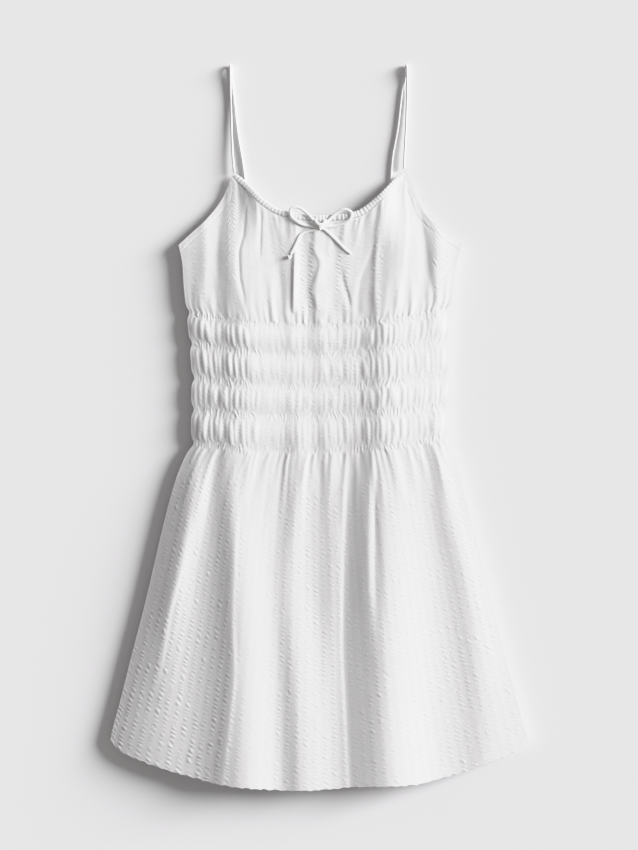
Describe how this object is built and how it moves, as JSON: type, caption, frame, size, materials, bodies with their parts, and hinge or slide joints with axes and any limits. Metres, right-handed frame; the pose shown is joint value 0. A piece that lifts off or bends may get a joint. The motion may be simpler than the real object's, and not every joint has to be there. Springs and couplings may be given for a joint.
{
  "type": "seersucker dress",
  "caption": "Short white cotton summer dress laid flat, with thin straps, a drawstring neckline, an elastic-gathered waist and a flared skirt.",
  "frame": {"origin": "on the surface under the middle of the laid dress", "axes": "+X across the dress to the right of its front as seen from above, +Y up it towards the straps, +Z up from the surface it lies on"},
  "size_m": [0.5247, 0.9074, 0.0332],
  "materials": {
    "seersucker": "matt white cotton seersucker with puckered stripes",
    "strap_cotton": "matt white turned cotton tube",
    "drawstring": "matt white cotton cord"
  },
  "bodies": {
    "root": {"bodice_front": "seersucker", "waist_front": "seersucker", "skirt_front": "seersucker", "bodice_back": "seersucker", "waist_back": "seersucker", "skirt_back": "seersucker", "neck_channel": "seersucker", "strap_left": "strap_cotton", "strap_right": "strap_cotton", "bow_loop_left": "drawstring", "bow_loop_right": "drawstring", "bow_tail_left": "drawstring", "bow_tail_right": "drawstring", "bow_knot": "drawstring", "bow_tail_knot": "drawstring"}
  },
  "joints": []
}
